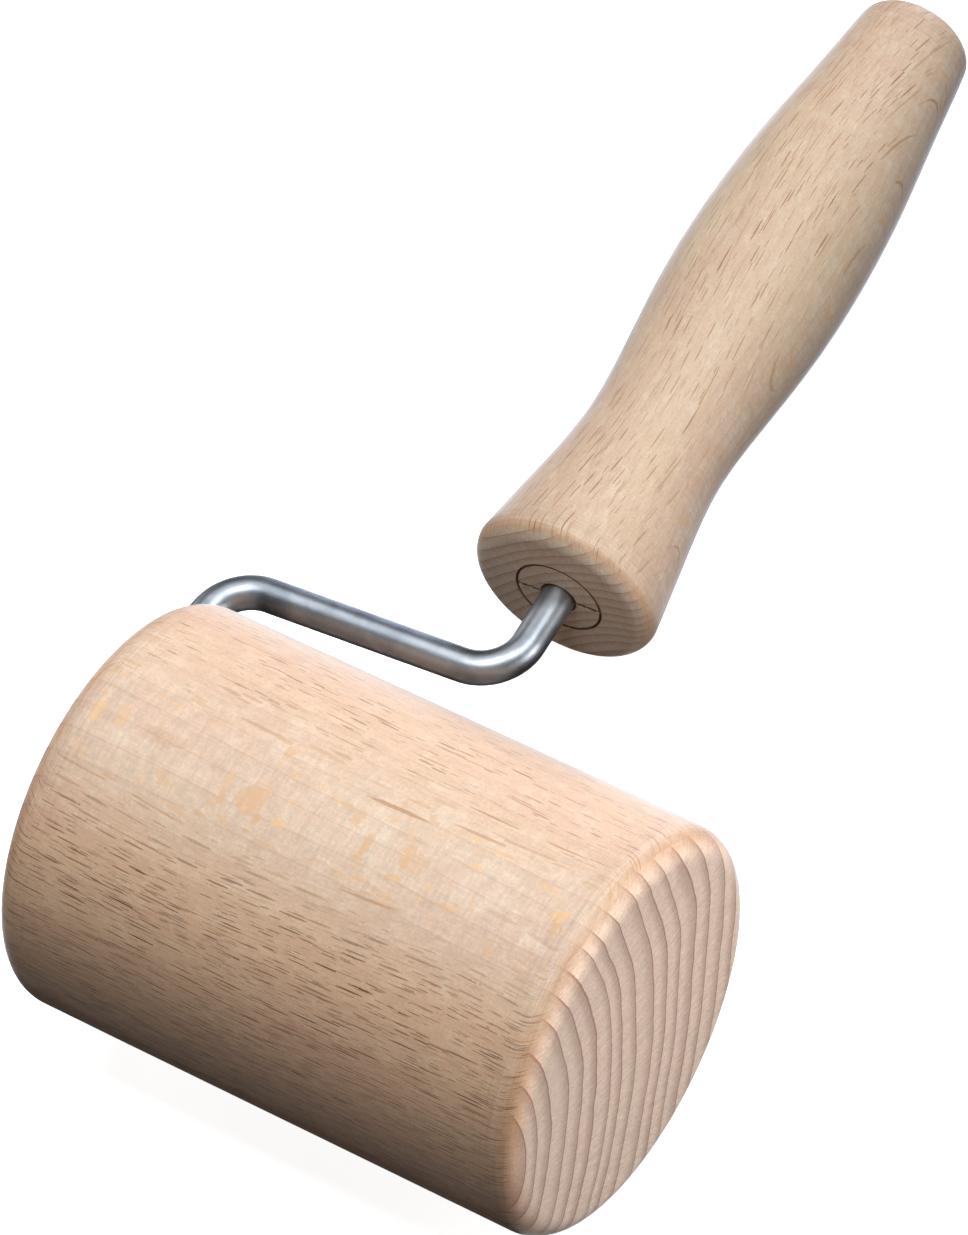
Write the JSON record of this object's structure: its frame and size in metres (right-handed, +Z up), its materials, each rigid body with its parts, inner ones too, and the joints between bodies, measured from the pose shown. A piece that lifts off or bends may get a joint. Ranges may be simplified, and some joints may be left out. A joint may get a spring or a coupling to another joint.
{
  "type": "dough roller",
  "caption": "Hand-held dough roller: a turned beech roller spins on a bent steel wire frame that ends in a turned beech handle.",
  "frame": {"origin": "middle of the tool's box, at the height of the table it lies on, roller and butt touching the table", "axes": "+Z up from the table, +X towards the butt of the handle, +Y towards the roller end that the wire enters"},
  "size_m": [0.1982, 0.0932, 0.06],
  "materials": {
    "roller_wood": "sanded, unvarnished beech",
    "handle_wood": "sanded, unvarnished beech",
    "wire_steel": "satin drawn wire",
    "sleeve_nylon": "natural nylon",
    "washer_steel": "zinc plated",
    "spring_steel": "blackened spring steel"
  },
  "bodies": {
    "holder": {"wire_frame": "wire_steel", "handle": "handle_wood", "outer_thrust_washer": "washer_steel", "inner_thrust_washer": "washer_steel", "retaining_ring": "spring_steel"},
    "roller": {"roller": "roller_wood", "bearing_sleeve": "sleeve_nylon"}
  },
  "joints": [
    {"name": "roller_spin", "type": "hinge", "parent": "holder", "child": "roller", "pos_m": [-0.0691, 0, 0.03], "axis": [0, 1, 0], "continuous": true}
  ]
}
